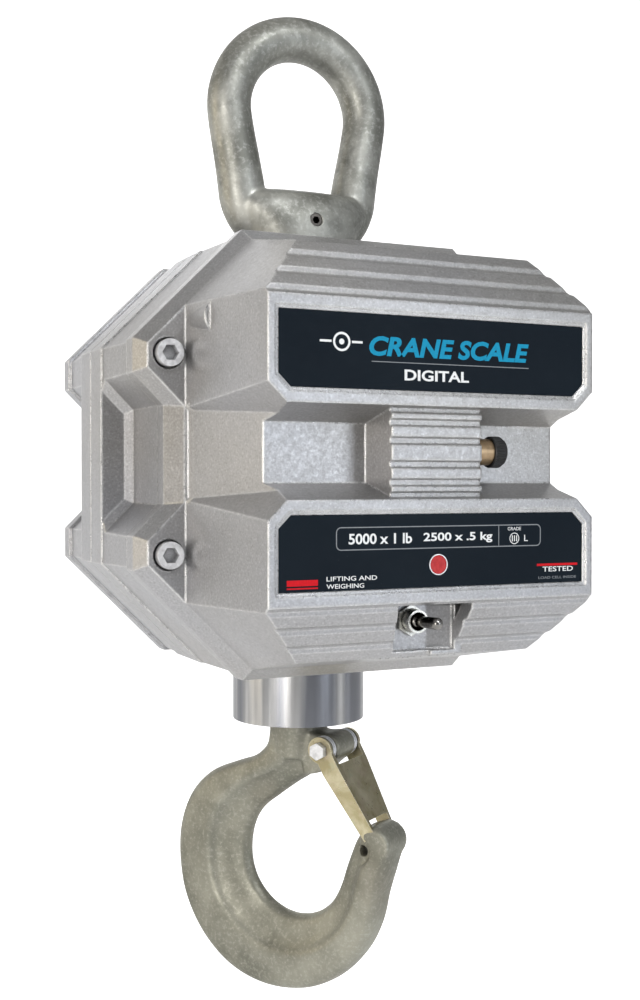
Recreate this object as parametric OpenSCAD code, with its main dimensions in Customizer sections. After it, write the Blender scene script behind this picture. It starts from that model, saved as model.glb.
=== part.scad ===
// Crane scale: a two-shell aluminium housing hung from a forged lifting eye, with a load cell
// inside and a swivel hook below. Millimetres, +Z up, -Y is the front.
// The origin is the point inside the lifting eye where a crane hook bears.

/* [Housing] */
// Half width of the housing at its joint flange
body_half_w = 130; // [128:0.5:134]
// Half height of the housing at its joint flange
body_half_h = 119; // [117:0.5:120]
// Depth of one shell, from the joint to its front face
shell_depth = 172; // [170:1:176]
// Thickness of the cast walls
wall = 5; // [4:0.5:6]
// Height of the raised lip that runs round each shell
lip_rise = 2; // [1:0.5:3]
// Number of ribs on each sloping face
rib_count = 3; // [2:1:4]

/* [Lifting eye] */
// Radius of the bar's centre line round the top of the eye
eye_r = 45.3; // [44:0.1:48]
// Radius of the eye's bar
bar_r = 13.3; // [12:0.1:14]
// Diameter of the threaded stem through the housing
stem_d = 36; // [32:1:40]

/* [Swivel] */
// Outside diameter of the bearing housing
collar_d = 80.5; // [76:0.5:84]
// Diameter of the hook's shank
shank_d = 30; // [26:1:32]
// Number of balls in the thrust bearing
ball_count = 18; // [12:1:20]

/* [Hook] */
// Angle of the hook's plane from the X axis when at rest
hook_turn = -55; // [-90:5:90]
// Radius of the hook's bowl
bowl_r = 34; // [32:0.5:36]
// Thickness of the hook's body
hook_t = 30; // [26:1:32]
// Diameter of the latch bolt
latch_bolt_d = 6; // [5:0.5:7]

/* [Switch and connector] */
// Width across the flats of the toggle switch nut
toggle_nut_af = 14.3; // [12:0.1:15]
// Lean of the toggle lever to each side
toggle_lean = 12.5; // [8:0.5:14]
// Diameter of the connector's neck
neck_d = 13.6; // [12:0.1:15]

/* [Hidden] */
$fn = 64;

reach = 300;                        // longer than any cut needs
gap = 0.05;                         // running clearance of a fit, on the radius
joint_gap = 0.6;                    // half the gasket's thickness
root2 = sqrt(2);

// heights measured from the middle of the housing
eye_arc_z = 211.5;                  // centre of the eye's upper arc
bearing_z = eye_arc_z + eye_r - bar_r;
body_z = -bearing_z;                // middle of the housing in the part's own frame
saddle_z = 162;                     // top of the eye's base
base_z = body_half_h + 2.2;         // underside of the eye's base
leg_foot = [36.8, saddle_z - 8];    // middle of each leg where it meets the base, in x and z
collar_z = -body_half_h - 0.6;      // top of the bearing housing
collar_h = 39;                      // height of the bearing housing
floor_z = collar_z - collar_h + 9;  // inner floor of the bearing housing

// shell sections: depth from the joint, then half width, half height and half diagonal
flange_y = 21.8;
lip_y = 63;
bevel_y = 73.8;
foot_y = 84.4;
flange_s = [body_half_w, body_half_h, 134.5];
skirt0_s = flange_s - [0.8, 0.2, 0.8];
skirt1_s = [body_half_w - 4.4, body_half_h + 0.5, 131];
lip_s = skirt1_s + [lip_rise - 0.2, lip_rise + 0.5, lip_rise];
inner_s = [body_half_w - 7.6, body_half_h - 4, 127];
foot_s = [101.7, inner_s[1], inner_s[2]];
front_s = [91.8, 99, 118.3];

// recess in each side, between the screw bosses: floor and 45 degree line at each depth
pad_n = [116.5, 92.9];
pad_y = flange_y + 3.8;
recess0_n = [112.4, 86.4];
recess1_n = [108.8, 82.1];
lip_n = [110.5, 84.5];
waist_y = 88.7;
waist_n = [99.2, 74.5];
side0_n = [100.4, 77.4];
side1_n = [76, 58.6];

// front face
slope_y = 148;                      // where the ribbed slope begins
slope_z = 103.4;
face_z = 73.4;                      // where the slope meets the front face
waist_floor_y = 146.3;              // floor of the waist across the front
waist_half = 15;
frame_z = 23;                       // inner edge of each panel frame
block_half = [28.3, 25.5];          // half width of the ribbed block, at its foot and its face
block_y = 169.6;
label_x = 86;
label_z = [30.2, 66.2];
label_cut = 6.2;                    // chamfer at the label's waist corners
label_sink = 2.2;
label_t = 1.2;
screw_at = [111.2, 52.4];
head_d = 14.3;
head_h = 9.5;
bore_d = 9.9;
seat_d = 16.6;
seat_deep = 5;
seat_y = foot_y - seat_deep;

lens_at = [-0.4, -55.2];
lens_d = 9.4;
toggle_at = [-2.8, -84.9];
pocket_y = 146;
toggle_pivot_y = 152;
neck_y = 158;
neck_x = 36.5;
cap_l = 8;
cap_d = 16.4;
neck_z = 0.9;

// hook, in its own plane: X across and Z up from the middle of the housing
bowl_z = -246.5;
back_c = [-12, -254];               // centre of the hook's outer curve
back_r = 74;
pivot = [25.8, -174.5];                 // latch bolt
lug_t = 22;
ear_gap = 16.2;                     // half the distance between the latch's ears
ear_t = 2;
latch_lean = 29.5;                    // angle of the closed latch from straight down
latch_l = 59;
tip_c = [57.5, -229.5];
tip_r = 12;
lock_hole = [50.3, -233];            // hole for a pin that locks the latch
tip_t = 20;
latch_foot = 10.5;                  // half the distance between the flanks at the latch's foot

hole = stem_d / 2 + 6;              // radius of the opening in the shells for the stem
hub_r = stem_d / 2 + 4.5;

module body_frame() translate([0, 0, body_z]) children();

module front_frame() body_frame() mirror([0, 1, 0]) children();

module both_sides() {
    children();
    mirror([1, 0, 0]) children();
}

module top_and_bottom() {
    children();
    mirror([0, 0, 1]) children();
}

// Points of an outline: size k of each section against its depth, without repeats
function outline(depths, sections, k, less) = [
    for (i = [0 : len(depths) - 1])
        if (i == 0 || depths[i] != depths[i - 1] || sections[i][k] != sections[i - 1][k])
            [sections[i][k] - less, depths[i]]
];

function reversed(list) = [for (i = [len(list) - 1 : -1 : 0]) list[i]];

// A slab with the same outline on both sides, turned about the Y axis
module slab(turn, points)
    rotate([0, turn, 0])
        linear_extrude(2 * reach, center = true)
            polygon(concat(points, [for (p = reversed(points)) [-p[0], p[1]]]));

// An eight-sided block whose section changes with depth
module octagon_block(depths, sections, less = 0)
    intersection() {
        slab(0, outline(depths, sections, 0, less));
        slab(90, outline(depths, sections, 1, less));
        slab(45, outline(depths, sections, 2, less));
        slab(-45, outline(depths, sections, 2, less));
    }

// Everything on the far side of an outline
module outside(turn, points)
    rotate([0, turn, 0])
        linear_extrude(2 * reach, center = true)
            polygon(concat(points, [[reach, points[len(points) - 1][1]], [reach, points[0][1]]]));

// A recess open to the side, with a floor and two walls at 45 degrees
module side_recess(depths, sections, t)
    intersection() {
        outside(0, outline(depths, sections, 0, t));
        outside(45, outline(depths, sections / root2, 1, t));
        outside(-45, outline(depths, sections / root2, 1, t));
    }

module side_recesses(t)
    both_sides() {
        side_recess([flange_y - 2 * t, pad_y - t, lip_y, lip_y, bevel_y, waist_y],
            [pad_n, recess0_n, recess1_n, lip_n, lip_n, waist_n], t);
        side_recess([foot_y, shell_depth + 3], [side0_n, side1_n], t);
    }

// A shape drawn in depth and height, run across the whole width
module across(half = reach)
    rotate([90, 0, 90])
        linear_extrude(2 * half, center = true)
            children();

function rib_start(i) = [
    slope_y + (shell_depth - slope_y) * i / rib_count,
    slope_z - (slope_z - face_z) * i / rib_count
];

// One rib: a short ledge, a slope, a riser and a hollow
function rib(i) = [
    rib_start(i) + [i == 0 ? 0 : 1.1, 0],
    rib_start(i) + [5, -5.6],
    rib_start(i) + [5.2, -7.8],
    rib_start(i) + [6.3, -9]
];

slope_line = [for (i = [0 : rib_count - 1]) for (p = rib(i)) p];

module slope_cuts(t)
    top_and_bottom()
        across()
            polygon(t == 0
                ? concat(slope_line, [[shell_depth, face_z], [reach, face_z], [reach, reach],
                    [slope_y, reach]])
                : [[slope_y - t, slope_z - t], [shell_depth - t, face_z - 1.3 * t],
                    [reach, face_z - 1.3 * t], [reach, reach], [slope_y - t, reach]]);

module waist_channel(t)
    across()
        polygon([[waist_floor_y - t, -waist_half - t], [waist_floor_y - t, waist_half + t],
            [shell_depth + 1, frame_z + 0.3 + t], [shell_depth + 1, -frame_z - 0.3 - t]]);

// The outside of one shell, with its depth along +Y
module shell_outside()
    difference() {
        octagon_block([joint_gap, flange_y, flange_y, lip_y, lip_y, bevel_y, foot_y, foot_y,
            shell_depth], [flange_s, flange_s, skirt0_s, skirt1_s, lip_s, lip_s, inner_s, foot_s,
            front_s]);
        side_recesses(0);
        slope_cuts(0);
        waist_channel(0);
    }

module shell_inside()
    difference() {
        octagon_block([-1, foot_y - wall, foot_y - wall, shell_depth - wall],
            [skirt0_s, inner_s, foot_s, front_s], wall);
        side_recesses(wall);
        slope_cuts(wall);
        waist_channel(wall);
    }

module shell_bosses()
    both_sides()
        top_and_bottom()
            translate([screw_at[0], joint_gap, screw_at[1]])
                rotate([-90, 0, 0])
                    cylinder(d = 20, h = seat_y - joint_gap);

module along_y(at, y0, y1, d)
    translate([at[0], y0, at[1]])
        rotate([-90, 0, 0])
            cylinder(d = d, h = y1 - y0);

// The ribbed block that bridges the waist
module waist_block()
    difference() {
        linear_extrude(2 * frame_z + 2, center = true)
            polygon([[-block_half[0], waist_floor_y - 1], [block_half[0], waist_floor_y - 1],
                [block_half[1], block_y], [-block_half[1], block_y]]);
        for (z = [5.8, 14.7, 21])
            top_and_bottom()
                across()
                    polygon([[block_y - 2, z - 0.9], [block_y - 2, z + 0.9],
                        [block_y + 1, z + 3], [block_y + 1, z - 3]]);
    }

// Outline of a label: square at the outer corners, cut at the waist corners
module label_outline(grow)
    polygon([[-label_x - grow, label_z[1] + grow], [label_x + grow, label_z[1] + grow],
        [label_x + grow, label_z[0] + label_cut - 0.4 * grow],
        [label_x - label_cut + 0.4 * grow, label_z[0] - grow],
        [-label_x + label_cut - 0.4 * grow, label_z[0] - grow],
        [-label_x - grow, label_z[0] + label_cut - 0.4 * grow]]);

module label_slab(grow, y0, y1)
    translate([0, y1, 0])
        rotate([90, 0, 0])
            linear_extrude(y1 - y0)
                label_outline(grow);

module label_pockets()
    top_and_bottom() {
        label_slab(0.3, shell_depth - label_sink, shell_depth + 1);
        label_slab(2, shell_depth - 0.8, shell_depth + 1);
    }

module shell_casting() {
    difference() {
        union() {
            difference() {
                shell_outside();
                shell_inside();
            }
            intersection() {
                shell_outside();
                shell_bosses();
            }
            waist_block();
        }
        both_sides()
            top_and_bottom()
                along_y(screw_at, seat_y, foot_y + 1, seat_d);
        label_pockets();
        translate([0, 0, -reach])
            cylinder(r = hole, h = 2 * reach);
    }
}

// Bulges on the side walls, over the upper corners
module wall_bulges()
    both_sides()
        along_y([91.5, 69], foot_y - 2, 113, 20);

// Pocket in the lower ribbed slope, with the switch on its floor
module toggle_pocket()
    translate([0, 0, -reach])
        linear_extrude(reach - face_z - 1.6)
            polygon([[-13.5, pocket_y], [6.7, pocket_y], [19.4, pocket_y + 4.5],
                [20.6, shell_depth + 1], [-23.3, shell_depth + 1]]);

module front_shell()
    color([0.72, 0.72, 0.71])
        front_frame()
            difference() {
                union() {
                    shell_casting();
                    difference() {
                        wall_bulges();
                        shell_inside();
                    }
                    translate([-20, pocket_y - 4, -104])
                        cube([44, 5, 27]);
                    translate([6, pocket_y - 1, -102.5])
                        cube([18, 8, 25.5]);
                }
                intersection() {
                    toggle_pocket();
                    translate([-reach, pocket_y, -100.2])
                        cube([2 * reach, reach, 40]);
                }
                both_sides()
                    top_and_bottom()
                        along_y(screw_at, 0, seat_y + 1, bore_d);
                along_y(toggle_at, pocket_y - 6, pocket_y + 2, 12);
                along_y(lens_at, shell_depth - wall - 4, shell_depth, lens_d + 1.2);
                along_x(neck_y, 0, 40, neck_d - 1.5);
            }

module rear_shell()
    color([0.72, 0.72, 0.71])
        body_frame()
            difference() {
                shell_casting();
                both_sides()
                    top_and_bottom()
                        along_y(screw_at, 0, 26, bore_d - 0.4);
                translate([0, shell_depth - 12, -(label_z[0] + label_z[1]) / 2])
                    cube([2 * label_x - 24, 30, 24], center = true);
                for (s = [-1, 1])
                    along_y([s * (label_x - 6), -(label_z[0] + label_z[1]) / 2],
                        shell_depth - wall - 6, shell_depth, 4.2);
            }

// Flat gasket between the shells
module shell_gasket()
    color([0.12, 0.12, 0.12])
        body_frame()
            difference() {
                octagon_block([-joint_gap + gap, joint_gap - gap], [flange_s, flange_s], 2);
                octagon_block([-2, 2], [flange_s, flange_s], 5.6);
                translate([0, 0, -reach])
                    cylinder(r = hole, h = 2 * reach);
            }

// Socket-head screws that hold the shells together
module shell_screws()
    color([0.75, 0.76, 0.78])
        front_frame()
            both_sides()
                top_and_bottom()
                    difference() {
                        union() {
                            along_y(screw_at, seat_y + gap, seat_y + head_h, head_d);
                            along_y(screw_at, -24, seat_y + 0.5, bore_d - 0.6);
                        }
                        translate([screw_at[0], seat_y + head_h - 5, screw_at[1]])
                            rotate([-90, 0, 0])
                                cylinder(d = 9, h = 6, $fn = 6);
                    }

module upper_label()
    color([0.1, 0.12, 0.15])
        front_frame()
            label_slab(0, shell_depth - label_sink + 0.02, shell_depth - label_sink + label_t);

module lower_label()
    color([0.1, 0.12, 0.15])
        front_frame()
            difference() {
                mirror([0, 0, 1])
                    label_slab(0, shell_depth - label_sink + 0.02, shell_depth - label_sink + label_t);
                along_y(lens_at, 0, shell_depth + 5, lens_d + 1.2);
            }

module rear_label()
    color([0.1, 0.12, 0.15])
        body_frame()
            label_slab(0, shell_depth - label_sink + 0.02, shell_depth - label_sink + label_t);

// Cover over the battery, in the rear shell's lower panel
module battery_cover()
    color([0.66, 0.66, 0.65])
        body_frame()
            difference() {
                union() {
                    mirror([0, 0, 1])
                        label_slab(0, shell_depth - label_sink + 0.02,
                            shell_depth - label_sink + 3);
                    translate([0, shell_depth - 4.5, -(label_z[0] + label_z[1]) / 2])
                        cube([2 * label_x - 25, 5, 23], center = true);
                }
                for (s = [-1, 1])
                    along_y([s * (label_x - 6), -(label_z[0] + label_z[1]) / 2], 0,
                        shell_depth + 5, 4.4);
            }

// Knurled thumb screws of the battery cover
module battery_cover_screws()
    color([0.75, 0.76, 0.78])
        body_frame()
            for (s = [-1, 1]) {
                along_y([s * (label_x - 6), -(label_z[0] + label_z[1]) / 2],
                    shell_depth - wall - 5, shell_depth + 2, 3.9);
                along_y([s * (label_x - 6), -(label_z[0] + label_z[1]) / 2],
                    shell_depth + 0.9, shell_depth + 4, 9.5);
            }

module indicator_bezel()
    color([0.78, 0.78, 0.78])
        front_frame()
            difference() {
                along_y(lens_at, shell_depth - wall - 3.5, shell_depth - label_sink + label_t + 0.3,
                    lens_d + 1);
                along_y(lens_at, 0, shell_depth + 5, lens_d);
            }

module indicator_lens()
    color([0.75, 0.08, 0.08])
        front_frame()
            along_y(lens_at, shell_depth - wall - 3, shell_depth - label_sink + label_t, lens_d - 0.1);

// Sealed body of the toggle switch, behind the pocket's floor
module toggle_body()
    color([0.15, 0.15, 0.16])
        front_frame()
            translate([toggle_at[0], pocket_y - 14.3, toggle_at[1]])
                cube([20, 20, 13], center = true);

module toggle_bushing()
    color([0.7, 0.7, 0.68])
        front_frame()
            difference() {
                along_y(toggle_at, pocket_y - 4.25, toggle_pivot_y + 3.5, 11.8);
                along_y(toggle_at, toggle_pivot_y - 4.6, toggle_pivot_y + 1.8, 9.2);
                translate([toggle_at[0], toggle_pivot_y + 1.7, toggle_at[1]])
                    rotate([-90, 0, 0])
                        cylinder(r1 = 4.05, r2 = 4.9, h = 2.5);
            }

module toggle_nut()
    color([0.8, 0.8, 0.78])
        front_frame()
            difference() {
                translate([toggle_at[0], pocket_y + 0.05, toggle_at[1]])
                    rotate([-90, 0, 0])
                        rotate([0, 0, 90])
                            cylinder(d = toggle_nut_af * 2 / sqrt(3), h = 2.6, $fn = 6);
                along_y(toggle_at, 0, reach, 12);
            }

// Lever of the toggle switch, leaning to the right at rest
module toggle_lever()
    color([0.35, 0.34, 0.33])
        front_frame()
            translate([toggle_at[0], toggle_pivot_y, toggle_at[1]])
                rotate([0, 0, -toggle_lean]) {
                    sphere(r = 4);
                    cylinder(d = 2, h = 8.6, center = true);
                    rotate([-90, 0, 0]) {
                        cylinder(r1 = 2.6, r2 = 3.1, h = 16);
                        translate([0, 0, 16])
                            sphere(r = 3.1);
                    }
                }

module along_x(y, x0, x1, d)
    translate([x0, y, neck_z])
        rotate([0, 90, 0])
            cylinder(d = d, h = x1 - x0);

// Brass connector in the right face of the waist block
module connector_body()
    color([0.72, 0.6, 0.35])
        front_frame()
            difference() {
                union() {
                    along_x(neck_y, 28, neck_x + 4, neck_d);
                    along_x(neck_y, 18, 28.5, neck_d - 2);
                }
                along_x(neck_y, 33, neck_x + 6, neck_d - 4);
            }

module connector_seal()
    color([0.1, 0.1, 0.1])
        front_frame()
            along_x(neck_y, neck_x + 4.2, neck_x + 5.2, neck_d - 0.6);

// Knurled dust cap on the connector
module connector_cap()
    color([0.13, 0.13, 0.13])
        front_frame()
            difference() {
                along_x(neck_y, neck_x, neck_x + cap_l, cap_d);
                along_x(neck_y, neck_x - 1, neck_x + 5.5, neck_d + 2 * gap);
            }

// Load cell with a threaded stem at each end
module load_cell()
    color([0.68, 0.69, 0.7])
        body_frame()
            difference() {
                union() {
                    cube([56, 44, 120], center = true);
                    translate([0, 0, 55])
                        cylinder(d = stem_d, h = 100);
                    translate([0, 0, -124])
                        cylinder(d = stem_d, h = 70);
                }
                for (z = [-18, 18])
                    translate([0, reach / 2, z])
                        rotate([90, 0, 0])
                            cylinder(d = 26, h = reach);
                translate([-5, -reach / 2, -18])
                    cube([10, reach, 36]);
            }

// Forged eye nut: a round bar bent over, closed by a thick base
// Boss of the eye: it widens upwards and is rounded over towards the saddle
module eye_boss()
    intersection() {
        translate([0, 0, base_z])
            cylinder(r1 = 30, r2 = 46.5, h = saddle_z - base_z - 0.5);
        translate([-reach, 0, 135])
            rotate([0, 90, 0])
                cylinder(r = 31, h = 2 * reach);
    }

// Straight leg of the eye, closing in from the arc to the boss
module eye_leg() {
    translate([leg_foot[0], 0, leg_foot[1]]) {
        rotate([0, atan2(eye_r - leg_foot[0], eye_arc_z - leg_foot[1]), 0])
            cylinder(r = bar_r - 0.3, h = norm([eye_r - leg_foot[0], eye_arc_z - leg_foot[1]]) + 1);
        sphere(r = bar_r - 0.1);
    }
    translate([eye_r, 0, eye_arc_z])
        sphere(r = bar_r - 0.1);
}

module lifting_eye()
    color([0.62, 0.64, 0.62])
        body_frame()
            difference() {
                union() {
                    translate([0, 0, eye_arc_z])
                        rotate([90, 0, 0])
                            rotate_extrude(angle = 180)
                                translate([eye_r, 0])
                                    circle(r = bar_r);
                    both_sides()
                        eye_leg();
                    eye_boss();
                }
                translate([0, 0, base_z - 1])
                    cylinder(d = stem_d + 2 * gap, h = 155.5 - base_z + 1);
                translate([0, 0, 142])
                    rotate([90, 0, 0])
                        cylinder(d = 8.1, h = reach);
            }

module eye_set_screw()
    color([0.4, 0.33, 0.28])
        body_frame()
            translate([0, -stem_d / 2 - 0.1, 142])
                rotate([90, 0, 0])
                    difference() {
                        cylinder(d = 8, h = 8.5);
                        translate([0, 0, 4])
                            cylinder(d = 4.6, h = 6, $fn = 6);
                    }

module stem_ring(z, h, r)
    body_frame()
        translate([0, 0, z])
            difference() {
                cylinder(r = r, h = h);
                translate([0, 0, -1])
                    cylinder(d = stem_d + 2 * gap, h = h + 2);
            }

// Rubber seals where the stems leave the housing
module upper_seal()
    color([0.1, 0.1, 0.1])
        stem_ring(body_half_h - 5.2, 7.3, hole - 0.1);

module lower_seal()
    color([0.1, 0.1, 0.1])
        body_frame()
            translate([0, 0, -body_half_h])
                difference() {
                    cylinder(r = hole - 0.1, h = 5);
                    translate([0, 0, -1])
                        cylinder(r = hub_r + gap, h = 7);
                }

// Cap that closes the bearing housing and screws on the lower stem
module bearing_cap()
    color([0.7, 0.7, 0.7])
        body_frame()
            difference() {
                union() {
                    translate([0, 0, collar_z - 8])
                        cylinder(r = collar_d / 2 - 6 - gap, h = 8);
                    translate([0, 0, collar_z - 1])
                        cylinder(r = hub_r, h = 21);
                }
                translate([0, 0, -124.1])
                    cylinder(d = stem_d + 2 * gap, h = 60);
            }

// Polished bearing housing below the shells
module bearing_housing()
    color([0.75, 0.75, 0.75])
        body_frame()
            difference() {
                translate([0, 0, collar_z - collar_h])
                    cylinder(d = collar_d, h = collar_h, $fn = 128);
                translate([0, 0, floor_z])
                    cylinder(r = collar_d / 2 - 6, h = collar_h);
                translate([0, 0, collar_z - collar_h - 1])
                    cylinder(d = shank_d + 2 * gap, h = collar_h);
            }

race_h = 3.4;
ball_r = 2.5;
ball_z = floor_z + race_h + 1.2;
ball_ring = 22;

module race(z)
    body_frame()
        difference() {
            translate([0, 0, z])
                cylinder(r = 27, h = race_h);
            translate([0, 0, z - 1])
                cylinder(d = shank_d + 0.6, h = race_h + 2);
            translate([0, 0, ball_z])
                rotate_extrude()
                    translate([ball_ring, 0])
                        circle(r = ball_r + gap);
        }

module lower_race()
    color([0.6, 0.6, 0.6])
        race(floor_z + 0.02);

module upper_race()
    color([0.6, 0.6, 0.6])
        race(floor_z + race_h + 2.4);

module thrust_balls()
    color([0.85, 0.85, 0.85])
        body_frame()
            translate([0, 0, ball_z])
                for (i = [0 : ball_count - 1])
                    rotate([0, 0, i * 360 / ball_count])
                        translate([ball_ring, 0, 0])
                            sphere(r = ball_r, $fn = 24);

nut_z = floor_z + 2 * race_h + 2.45;
nut_h = collar_z - 8.6 - nut_z;
pin_z = nut_z + nut_h / 2;

// Nut that carries the hook on the thrust bearing
module hook_nut()
    color([0.55, 0.55, 0.55])
        body_frame()
            difference() {
                translate([0, 0, nut_z])
                    cylinder(r = 26, h = nut_h);
                translate([0, 0, nut_z - 1])
                    cylinder(d = shank_d + 2 * gap, h = nut_h + 2);
                translate([0, 0, pin_z])
                    rotate([0, 90, hook_turn])
                        cylinder(d = 5.1, h = reach, center = true);
            }

module nut_pin()
    color([0.5, 0.5, 0.5])
        body_frame()
            translate([0, 0, pin_z])
                rotate([0, 90, hook_turn])
                    cylinder(d = 5, h = 50, center = true);

module hook_frame() body_frame() rotate([0, 0, hook_turn]) children();

// A flat shape in the hook's plane, given thickness about that plane
module plate(t)
    rotate([90, 0, 0])
        linear_extrude(t, center = true)
            children();

module hook_outline()
    difference() {
        union() {
            difference() {
                translate(back_c)
                    circle(r = back_r, $fn = 128);
                polygon([[-29, -221], [15, -190], [26, -150], [110, -150], [110, -214],
                    [47, -224], [34, -252], [25, -270], [0, bowl_z]]);
                polygon([[-90, -150], [-90, -196], [-56, -194], [-30, -184], [-18, -174],
                    [18, -150]]);
            }
            polygon([[-16.5, -164], [16.3, -164], [16.3, -186], [15, -190], [-29, -221],
                [-50, -200], [-44, -189.5], [-28, -183], [-20, -177], [-18, -172]]);
        }
        translate([0, bowl_z])
            circle(r = bowl_r, $fn = 96);
    }

module hook_tip_outline()
    difference() {
        union() {
            translate(tip_c)
                circle(r = tip_r);
            polygon([[46.5, -222.5], [38, -236], [33, -250], [30, -264], [40, -280], [62, -262],
                [66, -240]]);
        }
        translate(lock_hole)
            circle(d = 7);
        translate([0, bowl_z])
            circle(r = bowl_r, $fn = 96);
    }

// Forged hook with a shank, a lug for the latch and a thinner tip
module hook()
    color([0.45, 0.45, 0.4])
        hook_frame()
            difference() {
                union() {
                    difference() {
                        plate(hook_t)
                            hook_outline();
                        translate([30, -reach / 2, -252])
                            cube([80, reach, 60]);
                    }
                    plate(tip_t)
                        hook_tip_outline();
                    plate(lug_t) {
                        translate(pivot)
                            circle(r = 9);
                        polygon([[12, -166.5], [25.8, -165.5], [34, -178], [20, -190], [10, -192]]);
                    }
                    translate([0, 0, -180])
                        cylinder(r = 18, h = 180 + collar_z - collar_h - 0.6);
                    translate([0, 0, -170])
                        cylinder(d = shank_d, h = 170 + nut_z + nut_h);
                }
                translate([pivot[0], 0, pivot[1]])
                    rotate([90, 0, 0])
                        cylinder(d = latch_bolt_d + 2 * gap, h = reach, center = true);
                translate([0, 0, pin_z])
                    rotate([0, 90, 0])
                        cylinder(d = 5.1, h = reach, center = true);
            }

// Frame at the latch bolt: X points away from the throat, -Z runs down the latch
module latch_frame() hook_frame() translate([pivot[0], 0, pivot[1]]) rotate([0, -latch_lean, 0]) children();

module mirror_y() {
    children();
    mirror([0, 1, 0]) children();
}

// Folded steel latch: two ears, two flanks and a back plate
module latch()
    color([0.7, 0.62, 0.35])
        latch_frame()
            difference() {
                union() {
                    mirror_y() {
                        translate([0, -ear_gap - ear_t, 0])
                            rotate([-90, 0, 0])
                                cylinder(r = 8, h = ear_t);
                        hull() {
                            translate([-5, -ear_gap - ear_t, -14])
                                cube([11.5, ear_t, 14]);
                            translate([-2, -latch_foot - ear_t, -latch_l])
                                cube([8.5, ear_t, 2]);
                        }
                    }
                    hull() {
                        translate([4.5, -ear_gap - ear_t, -14])
                            cube([ear_t, 2 * ear_gap + 2 * ear_t, 2]);
                        translate([4.5, -latch_foot - ear_t, -latch_l + 10])
                            cube([ear_t, 2 * latch_foot + 2 * ear_t, 2]);
                    }
                }
                rotate([90, 0, 0])
                    cylinder(d = latch_bolt_d + 2 * gap, h = reach, center = true);
            }

// Torsion spring: coils on the bolt, either side of the lug
module latch_spring()
    color([0.55, 0.55, 0.55])
        latch_frame()
            mirror_y()
                for (i = [0 : 1])
                    translate([0, lug_t / 2 + 1.15 + 1.9 * i, 0])
                        rotate([90, 0, 0])
                            rotate_extrude()
                                translate([7.2, 0])
                                    circle(r = 0.8, $fn = 16);

module latch_bolt()
    color([0.8, 0.8, 0.78])
        latch_frame()
            rotate([90, 0, 0]) {
                translate([0, 0, -ear_gap - ear_t - 7])
                    cylinder(d = latch_bolt_d, h = 2 * ear_gap + 2 * ear_t + 7.1);
                translate([0, 0, ear_gap + ear_t + 0.05])
                    cylinder(d = 10.4, h = 4, $fn = 6);
            }

module latch_nut()
    color([0.8, 0.8, 0.78])
        latch_frame()
            rotate([90, 0, 0])
                difference() {
                    translate([0, 0, -ear_gap - ear_t - 5.1])
                        cylinder(d = 10.4, h = 5, $fn = 6);
                    cylinder(d = latch_bolt_d + 2 * gap, h = reach, center = true);
                }

// Circuit board behind the front shell's waist
module circuit_board()
    color([0.1, 0.35, 0.15])
        front_frame() {
            translate([-62, 100, -72])
                cube([124, 1.6, 46]);
            for (x = [-50, -20, 14])
                translate([x, 101.7, -60])
                    cube([22, 4, 18]);
        }

module board_standoffs()
    color([0.75, 0.7, 0.5])
        front_frame()
            both_sides()
                for (z = [-68, -30])
                    translate([57, 91.9, z])
                        rotate([-90, 0, 0])
                            cylinder(d = 6, h = 8);

module battery_pack()
    color([0.2, 0.25, 0.3])
        body_frame()
            for (i = [-1.5 : 1.5])
                translate([i * 34, 60, -48])
                    rotate([-90, 0, 0])
                        cylinder(d = 32, h = 61);

module battery_bracket()
    color([0.6, 0.6, 0.62])
        body_frame()
            difference() {
                translate([-74, 58, -68.1])
                    cube([148, 66, 4]);
                for (x = [-50, 50])
                    translate([x, 90, -reach])
                        cylinder(d = 5, h = reach);
            }

// Radio antenna on the top of the circuit board
module antenna()
    color([0.1, 0.1, 0.1])
        front_frame()
            translate([50, 100.8, -25.9])
                cylinder(d = 7, h = 62);

front_shell();
rear_shell();
shell_gasket();
shell_screws();
upper_label();
lower_label();
rear_label();
battery_cover();
battery_cover_screws();
indicator_bezel();
indicator_lens();
toggle_body();
toggle_bushing();
toggle_nut();
toggle_lever();
connector_body();
connector_seal();
connector_cap();
load_cell();
lifting_eye();
eye_set_screw();
upper_seal();
lower_seal();
bearing_cap();
bearing_housing();
lower_race();
thrust_balls();
upper_race();
hook_nut();
nut_pin();
hook();
latch();
latch_spring();
latch_bolt();
latch_nut();
circuit_board();
board_standoffs();
battery_pack();
battery_bracket();
antenna();
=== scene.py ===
"""Crane scale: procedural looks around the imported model. Metres, +Z up, -Y is the front."""
import math

import bmesh
import bpy
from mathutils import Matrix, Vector


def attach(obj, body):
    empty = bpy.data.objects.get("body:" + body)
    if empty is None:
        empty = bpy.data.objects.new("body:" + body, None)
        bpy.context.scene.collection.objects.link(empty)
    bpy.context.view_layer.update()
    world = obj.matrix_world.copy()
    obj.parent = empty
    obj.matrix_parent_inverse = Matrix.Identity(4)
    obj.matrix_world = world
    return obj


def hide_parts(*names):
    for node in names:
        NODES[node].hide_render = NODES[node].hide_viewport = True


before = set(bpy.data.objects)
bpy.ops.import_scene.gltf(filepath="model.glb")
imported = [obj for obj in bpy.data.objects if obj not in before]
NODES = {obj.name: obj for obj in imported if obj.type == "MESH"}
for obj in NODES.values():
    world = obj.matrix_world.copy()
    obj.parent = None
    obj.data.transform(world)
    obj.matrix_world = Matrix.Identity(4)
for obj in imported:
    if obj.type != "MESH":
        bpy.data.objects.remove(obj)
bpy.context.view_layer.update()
MM = 0.001
BODY_Z = -243.5          # middle of the housing, in millimetres below the eye's bearing point
HOOK_TURN = math.radians(-55)
EYE_R = 45.3             # middle line of the eye's arc
EYE_ARC_Z = 211.5        # centre of that arc above the housing's middle
EYE_BAR_R = 13.3
SET_SCREW_Z = 142
LABEL_Y = -171.0         # face of the front labels
INK_LIFT = 0.03          # height of the ink's underside above the label
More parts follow.
